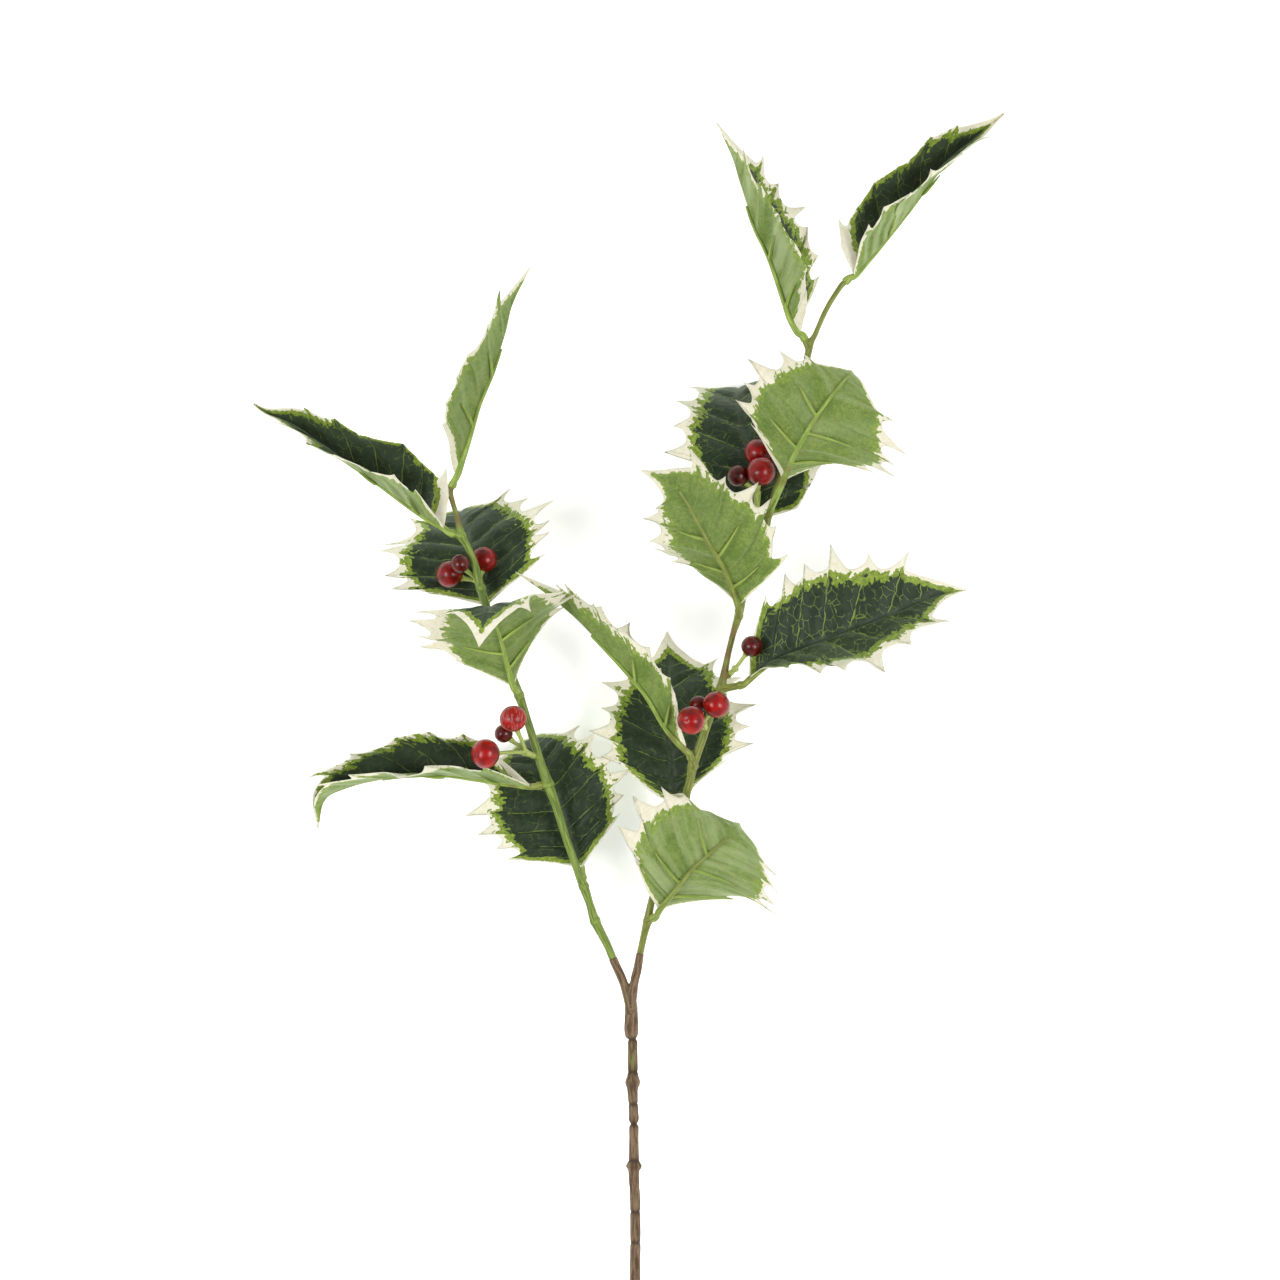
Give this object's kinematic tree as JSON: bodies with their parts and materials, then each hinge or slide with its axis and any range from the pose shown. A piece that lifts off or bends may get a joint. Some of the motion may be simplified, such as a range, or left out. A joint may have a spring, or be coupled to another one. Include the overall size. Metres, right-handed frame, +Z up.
{
  "type": "holly spray",
  "caption": "Cut spray of faux variegated holly: a brown stem forking into two branches with spiny cream-edged leaves and glossy red berries, lying on a surface.",
  "frame": {"origin": "centre of the bounding box, on the surface that the spray lies on", "axes": "+Y from the stem's cut end to the leaf tips, +Z up from the surface, +X to the right when looked down on with the cut end at the bottom"},
  "size_m": [0.2969, 0.5124, 0.0985],
  "materials": {
    "brown_stem": "moulded, matt, with fine lengthways grooves",
    "green_branch": "moulded, satin, yellow-green to olive with brownish streaks",
    "leaf_blade": "printed woven fabric: dark green above with a cream margin, sage green below",
    "leaf_rib": "moulded, satin, yellow-green with brown patches",
    "berry_stalk": "moulded, satin, pale yellow-green",
    "red_berry": "glossy deep red",
    "small_berry": "glossy maroon"
  },
  "bodies": {
    "root": {"main_stem": "brown_stem", "left_branch": "green_branch", "right_branch": "green_branch", "left_leaf_1_blade": "leaf_blade", "left_leaf_1_rib": "leaf_rib", "left_leaf_2_blade": "leaf_blade", "left_leaf_2_rib": "leaf_rib", "left_leaf_3_blade": "leaf_blade", "left_leaf_3_rib": "leaf_rib", "left_leaf_4_blade": "leaf_blade", "left_leaf_4_rib": "leaf_rib", "left_leaf_5_blade": "leaf_blade", "left_leaf_5_rib": "leaf_rib", "left_leaf_6_blade": "leaf_blade", "left_leaf_6_rib": "leaf_rib", "right_leaf_1_blade": "leaf_blade", "right_leaf_1_rib": "leaf_rib", "right_leaf_2_blade": "leaf_blade", "right_leaf_2_rib": "leaf_rib", "right_leaf_3_blade": "leaf_blade", "right_leaf_3_rib": "leaf_rib", "right_leaf_4_blade": "leaf_blade", "right_leaf_4_rib": "leaf_rib", "right_leaf_5_blade": "leaf_blade", "right_leaf_5_rib": "leaf_rib", "right_leaf_6_blade": "leaf_blade", "right_leaf_6_rib": "leaf_rib", "right_leaf_7_blade": "leaf_blade", "right_leaf_7_rib": "leaf_rib", "right_leaf_8_blade": "leaf_blade", "right_leaf_8_rib": "leaf_rib", "right_leaf_9_blade": "leaf_blade", "right_leaf_9_rib": "leaf_rib", "left_low_berry_stalks": "berry_stalk", "left_low_berry_1": "red_berry", "left_low_berry_2": "red_berry", "left_low_berry_3": "small_berry", "left_high_berry_stalks": "berry_stalk", "left_high_berry_1": "red_berry", "left_high_berry_2": "small_berry", "left_high_berry_3": "red_berry", "right_low_berry_stalks": "berry_stalk", "right_low_berry_1": "red_berry", "right_low_berry_2": "red_berry", "right_low_berry_3": "small_berry", "right_single_berry_stalks": "berry_stalk", "right_single_berry_1": "small_berry", "right_high_berry_stalks": "berry_stalk", "right_high_berry_1": "red_berry", "right_high_berry_2": "red_berry", "right_high_berry_3": "small_berry"}
  },
  "joints": []
}
